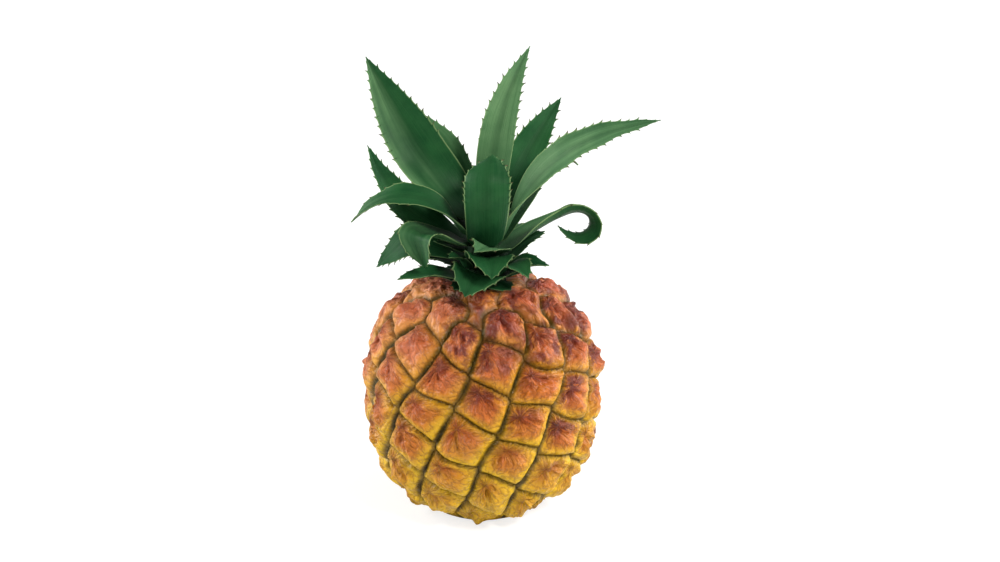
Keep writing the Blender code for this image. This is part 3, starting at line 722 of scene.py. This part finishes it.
def ramp(tree, value, stops):
    """A colour ramp from (place, colour) stops."""
    node = tree.nodes.new("ShaderNodeValToRGB")
    bar = node.color_ramp
    while len(bar.elements) < len(stops):
        bar.elements.new(0.5)
    for element, (place, colour) in zip(bar.elements, stops):
        element.position = place
        element.color = (*colour, 1.0)
    link(tree, value, node.inputs[0])
    return node.outputs["Color"]


def blank_material(name):
    """A new material with its node tree and its shader."""
    material = bpy.data.materials.new(name)
    material.use_nodes = True
    tree = material.node_tree
    return material, tree, tree.nodes["Principled BSDF"]


def bumped(tree, height, distance, strength, shader):
    """Tilts the shader's normal by the slope of a height."""
    node = tree.nodes.new("ShaderNodeBump")
    node.inputs["Distance"].default_value = distance
    node.inputs["Strength"].default_value = strength
    link(tree, height, node.inputs["Height"])
    link(tree, node.outputs["Normal"], shader.inputs["Normal"])


def object_place(tree):
    """Place on the object, in metres."""
    return tree.nodes.new("ShaderNodeTexCoord").outputs["Object"]


def wrinkle_group():
    """Fine and broad wrinkles that fan out from near the top of an eye, as a group of nodes.

    Noise is read at the direction from that point, so that it runs on along each ray and changes slowly with the
    distance. Each eye reads it at a place of its own.
    """
    group = bpy.data.node_groups.new("eye wrinkles", "ShaderNodeTree")
    group.interface.new_socket("Eye", in_out="INPUT", socket_type="NodeSocketVector")
    group.interface.new_socket("Fine", in_out="OUTPUT", socket_type="NodeSocketFloat")
    group.interface.new_socket("Broad", in_out="OUTPUT", socket_type="NodeSocketFloat")
    start, end = group.nodes.new("NodeGroupInput"), group.nodes.new("NodeGroupOutput")
    x, y, seed = split(group, start.outputs["Eye"])
    reach = sums(group, "SQRT", sums(group, "ADD", product(group, x, x), product(group, y, y)))
    safe = sums(group, "MAXIMUM", reach, 0.06)
    right, over = sums(group, "DIVIDE", x, safe), sums(group, "DIVIDE", y, safe)
    shift = sums(group, "MULTIPLY_ADD", seed, 60.0, reach)
    ray = joined(group, right, over, shift)
    link(group, noise(group, ray, 3.4, 3.0), end.inputs["Fine"])
    link(group, noise(group, ray, 1.3, 2.0), end.inputs["Broad"])
    return group


def fruit_material():
    """Moulded skin: salmon at the neck to gold at the base, russet eyes, crimson stains, and olive grooves darkened by
    painted shade, with painted shade on their banks and in the creases.

    The base colour goes by height, with slow clouds and a small step from eye to eye. Each colour that lies over
    it is mixed in by a mask made of the place in the eye, the wrinkles and the skin's own marks.
    """
    material, tree, shader = blank_material("fruit skin")
    place = object_place(tree)
    x, _, z = split(tree, place)
    eye = attribute(tree, "eye", "Vector")
    edge, stain, groove = (attribute(tree, name) for name in ("edge", "stain", "groove"))
    _, up, seed = split(tree, eye)
    wrinkles = tree.nodes.new("ShaderNodeGroup")
    wrinkles.node_tree = wrinkle_group()
    link(tree, eye, wrinkles.inputs["Eye"])
    fine, broad = wrinkles.outputs["Fine"], wrinkles.outputs["Broad"]
    ridge, swell = (sums(tree, "ABSOLUTE", sums(tree, "MULTIPLY_ADD", fold, 2.0, -1.0)) for fold in (fine, broad))
    crease = ranged(tree, ridge, 0.0, 0.16, 1.0, 0.0)
    cloud = noise(tree, place, 42.0, 3.0)
    crumple = noise(tree, place, 300.0, 4.0, 0.62)

    level = sums(tree, "MULTIPLY_ADD", cloud, 0.34, sums(tree, "MULTIPLY_ADD", z, 1.0 / NECK_HEIGHT, -0.17))
    level = sums(tree, "MULTIPLY_ADD", seed, 0.12, sums(tree, "SUBTRACT", level, 0.06))
    skin = ramp(tree, level, SKIN_STOPS)
    salmon = ranged(tree, sums(tree, "MULTIPLY_ADD", x, -1.2, z), 0.110, 0.150, 0.0, 0.7)
    skin = mixed(tree, salmon, skin, SALMON)
    russet = product(tree, ranged(tree, up, -0.9, -0.05), ranged(tree, broad, 0.38, 0.60))
    russet = product(tree, russet, ranged(tree, z, 0.01, 0.07, 0.40, 0.80))
    skin = mixed(tree, russet, skin, RUSSET)
    low = ranged(tree, level, 0.25, 0.95, 0.95, 0.25)
    gold = sums(tree, "SUBTRACT", sums(tree, "MULTIPLY_ADD", cloud, 0.5, edge), product(tree, up, 0.25))
    gold = product(tree, ranged(tree, gold, 0.75, 1.35), low)
    skin = mixed(tree, gold, skin, GOLD)
    blotch = sums(tree, "MULTIPLY_ADD", stain, 0.3, sums(tree, "MULTIPLY_ADD", crumple, 0.6, fine))
    blotch = ranged(tree, blotch, 0.84, 1.08)
    skin = mixed(tree, product(tree, stain, blotch, 0.92), skin, CRIMSON)
    skin = mixed(tree, product(tree, stain, ranged(tree, crumple, 0.55, 0.72), 0.55), skin, ROSE)
    # Painted shade: the fine creases of the eyes are darkened brown
    skin = mixed(tree, product(tree, crease, 0.42), skin, CREASE_SHADE_BROWN)
    # Painted shade: a soft olive darkening on the banks beside the grooves
    skin = mixed(tree, product(tree, ranged(tree, edge, 0.68, 0.95), groove, 0.5), skin, OLIVE_BANK_SHADE)
    # Olive grooves: partly their own colour, partly painted shade, darkest where a row runs on
    skin = mixed(tree, groove, skin, OLIVE_GROOVE_SHADE)
    link(tree, skin, shader.inputs["Base Color"])
    link(tree, ranged(tree, cloud, 0.3, 0.7, 0.31, 0.46), shader.inputs["Roughness"])
    shader.inputs["Specular IOR Level"].default_value = 0.30
    wrinkled = sums(tree, "MULTIPLY_ADD", stain, 0.6, 0.25)
    folds = sums(tree, "MULTIPLY_ADD", swell, 1.4, product(tree, ridge, 0.9))
    bumped(tree, sums(tree, "MULTIPLY_ADD", crumple, wrinkled, folds), 0.0016, 1.0, shader)
    return material


def leaf_material():
    """Moulded leaf: dark green with a pale bloom in streaks, a light edge line, brown spines and painted shade at its
    foot. How pale each leaf and face is also carries painted light and shade.
    """
    material, tree, shader = blank_material("leaf")
    strip = attribute(tree, "strip", "Vector")
    across, along, seed = split(tree, strip)
    spine, tone_and_light = attribute(tree, "spine"), attribute(tree, "tone_and_light")
    streak = noise(tree, joined(tree, across, product(tree, along, 9.0), seed), 2.2, 2.0)
    vein = noise(tree, joined(tree, product(tree, across, 9.0), product(tree, along, 14.0), seed), 2.6)
    blot = noise(tree, object_place(tree), 60.0, 3.0)

    dark, pale = (mixed(tree, ranged(tree, blot, 0.3, 0.7), *pair) for pair in (LEAF_DARKS, LEAF_PALES))
    # Pale streaks: partly the leaves' bloom, partly painted light and shade set leaf by leaf
    bloom_and_light = ranged(tree, sums(tree, "MULTIPLY_ADD", streak, 0.7, product(tree, tone_and_light, 0.8)), 0.42, 1.0)
    skin = mixed(tree, bloom_and_light, dark, pale)
    skin = mixed(tree, ranged(tree, vein, 0.35, 0.65, 0.0, 0.28), skin, VEIN_GREEN)
    out = sums(tree, "ABSOLUTE", across)
    skin = mixed(tree, ranged(tree, out, 0.05, 0.40, 0.30, 0.0), skin, MIDRIB_GREEN)
    rim = ranged(tree, out, 0.93, 0.995)
    skin = mixed(tree, product(tree, rim, 0.7), skin, RIM_GREEN)
    skin = mixed(tree, ranged(tree, spine, 0.25, 0.7), skin, SPINE_BROWN)
    # Painted shade: the leaf darkens towards its foot on the stem
    skin = mixed(tree, ranged(tree, along, 0.002, 0.030, 0.75, 0.0), skin, FOOT_SHADE_GREEN)
    link(tree, skin, shader.inputs["Base Color"])
    link(tree, ranged(tree, streak, 0.3, 0.7, 0.40, 0.56), shader.inputs["Roughness"])
    shader.inputs["Specular IOR Level"].default_value = 0.08
    bumped(tree, vein, 0.0004, 0.35, shader)
    return material


def bead_material():
    """Plain steel, mottled between two near greys, with a little unevenness."""
    material, tree, shader = blank_material("bead steel")
    place = object_place(tree)
    cloud = noise(tree, place, 300.0)
    link(tree, mixed(tree, ranged(tree, cloud, 0.35, 0.65), *BEAD_STEELS), shader.inputs["Base Color"])
    link(tree, ranged(tree, cloud, 0.3, 0.7, 0.22, 0.34), shader.inputs["Roughness"])
    shader.inputs["Metallic"].default_value = 1.0
    bumped(tree, noise(tree, place, 1800.0), 0.0002, 0.2, shader)
    return material


def stem_material():
    """Stem and plug: dark green with upright fibres, darkened as painted shade so that they pass for the shade between
    the leaves.
    """
    material, tree, shader = blank_material("stem plastic")
    x, y, z = split(tree, object_place(tree))
    fibre = noise(tree, joined(tree, x, y, product(tree, z, 0.08)), 900.0, 3.0)
    skin = mixed(tree, ranged(tree, fibre, 0.35, 0.7), *STEM_SHADE_GREENS)
    link(tree, skin, shader.inputs["Base Color"])
    link(tree, ranged(tree, fibre, 0.3, 0.7, 0.50, 0.65), shader.inputs["Roughness"])
    shader.inputs["Specular IOR Level"].default_value = 0.2
    bumped(tree, fibre, 0.0006, 0.7, shader)
    return material


def bead_rings(centre, radius, stacks=24, sides=40):
    """A ball: circles from one pole to the other."""
    turn = np.linspace(POLE_CAP, np.pi - POLE_CAP, stacks)[:, None]
    facing = np.linspace(0.0, 2.0 * np.pi, sides, endpoint=False)[None, :]
    out, up = np.sin(turn), -np.cos(turn) + 0.0 * facing
    return centre + radius * np.stack([out * np.cos(facing), out * np.sin(facing), up], axis=-1)


def crown_pieces(frame, material):
    """One fine leaf for each leaf of the part, at the part's own hinge points."""
    joints = {joint["child"]: joint for joint in frame["record"]["behaviour"]["joints"]}
    for seed, (name, blade) in enumerate(LEAVES.items(), start=1):
        joint = joints[name]
        hinge = np.array(joint["pos_m"], dtype=float)
        azimuth = float(np.degrees(np.arctan2(hinge[0], -hinge[1])))
        rings, marks = leaf_rings(hinge, azimuth, blade, seed)
        solid_piece(name.replace("leaf_", "blade_"), rings, material, name, (name,), marks)


def scale_pieces(material):
    """Short still blades on the stem, rooted in it as the leaves are."""
    for number, (azimuth, height, length, width, rise, bend, upper, under) in enumerate(SCALES, start=1):
        blade = Blade(length, width, rise, bend, 0.0, 1.0, 0.0, 0.0, SCALE_WIDEST, upper, under, 0.0, 0.0)
        facing = np.radians(azimuth)
        radius = STEM_RADIUS - STEM_TAPER * height * MM
        root = np.array([radius * np.sin(facing), -radius * np.cos(facing), STEM_FOOT + height * MM])
        rings, marks = leaf_rings(root, azimuth, blade, FIRST_SCALE_SEED + number)
        solid_piece(f"stem_scale_{number}", rings, material, "fruit", marks=marks)


def bead_pieces(frame, material):
    """One steel ball for each bead of the part, of the bead's own size and place."""
    for name in sorted(frame["nodes"]):
        if name.startswith("rattle_bead"):
            low, high = (np.array(corner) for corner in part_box(name))
            rings = bead_rings((low + high) / 2.0, float((high - low).max()) / 2.0)
            solid_piece(name.replace("rattle_", "steel_"), rings, material, name, (name,))


def floor_material():
    """White floor: matt and bright for the light that it throws back, and evenly white for the camera.

    For the camera it is grey with a glow that keeps the object's shadow and grows to plain white far off.
    """
    material, tree, shader = blank_material("white floor")
    place = object_place(tree)
    cloud = noise(tree, place, 2.0)
    x, y, _ = split(tree, place)
    away = sums(tree, "SQRT", sums(tree, "MULTIPLY_ADD", x, x, product(tree, y, y)))
    seen = tree.nodes.new("ShaderNodeLightPath").outputs["Is Camera Ray"]
    grey = mixed(tree, cloud, *FLOOR_GREYS)
    link(tree, mixed(tree, seen, FLOOR_WHITE, grey), shader.inputs["Base Color"])
    shader.inputs["Roughness"].default_value = 0.9
    shader.inputs["Specular IOR Level"].default_value = 0.0
    shader.inputs["Emission Color"].default_value = (*WHITE, 1.0)
    glow = ranged(tree, away, GLOW_FROM, GLOW_FULL, FLOOR_GLOW, 1.0)
    link(tree, product(tree, seen, glow), shader.inputs["Emission Strength"])
    return material


def area_light(name, place, size, power, colour):
    """A square lamp that faces the object."""
    light = bpy.data.lights.new(name, "AREA")
    light.size = size
    light.energy = power
    light.color = colour
    lamp = bpy.data.objects.new(name, light)
    lamp.location = place
    lamp.rotation_euler = (Vector(AIM_POINT) - Vector(place)).to_track_quat("-Z", "Y").to_euler()
    bpy.context.scene.collection.objects.link(lamp)


def studio():
    """White floor and surroundings, a key from the upper right and a large soft light on either side."""
    half = FLOOR_SIZE / 2.0
    mesh = bpy.data.meshes.new("floor")
    corners = [(-half, -half, 0.0), (half, -half, 0.0), (half, half, 0.0), (-half, half, 0.0)]
    mesh.from_pydata(corners, [], [(0, 1, 2, 3)])
    mesh.materials.append(floor_material())
    floor = bpy.data.objects.new("floor", mesh)
    bpy.context.scene.collection.objects.link(floor)
    area_light("key light", KEY_PLACE, KEY_SIZE, KEY_POWER, KEY_COLOUR)
    area_light("left light", LEFT_PLACE, SIDE_SIZE, SIDE_POWER, WHITE)
    area_light("right light", RIGHT_PLACE, SIDE_SIZE, SIDE_POWER, WHITE)
    world = bpy.data.worlds.new("white surroundings")
    world.use_nodes = True
    tree = world.node_tree
    seen = tree.nodes.new("ShaderNodeLightPath").outputs["Is Camera Ray"]
    background = tree.nodes["Background"]
    background.inputs["Color"].default_value = (*WHITE, 1.0)
    link(tree, ranged(tree, seen, 0.0, 1.0, WORLD_STRENGTH, 1.0), background.inputs["Strength"])
    bpy.context.scene.world = world


def camera():
    """The photograph's camera: in front of the object, a little above it and looking down at it."""
    tilt = np.radians(CAMERA_ELEVATION)
    offset = Vector((0.0, -np.cos(tilt), np.sin(tilt))) * CAMERA_DISTANCE
    lens = bpy.data.cameras.new("camera")
    lens.lens = CAMERA_LENS
    lens.sensor_width = SENSOR_WIDTH
    lens.sensor_fit = "HORIZONTAL"
    made = bpy.data.objects.new("camera", lens)
    made.location = Vector(AIM_POINT) + offset
    made.rotation_euler = (-offset).to_track_quat("-Z", "Y").to_euler()
    bpy.context.scene.collection.objects.link(made)
    bpy.context.scene.camera = made


def main():
    """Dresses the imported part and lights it."""
    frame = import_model()
    bpy.context.scene.view_settings.view_transform = "Standard"
    rings, marks = fruit_rings()
    solid_piece("fruit_skin", rings, fruit_material(), "fruit", ("fruit_shell",), marks)
    leaf = leaf_material()
    crown_pieces(frame, leaf)
    scale_pieces(leaf)
    bead_pieces(frame, bead_material())
    stem = stem_material()
    for name in ("crown_plug", "crown_core"):
        node = frame["nodes"][name]
        node.data.materials.clear()
        node.data.materials.append(stem)
    studio()
    camera()


main()
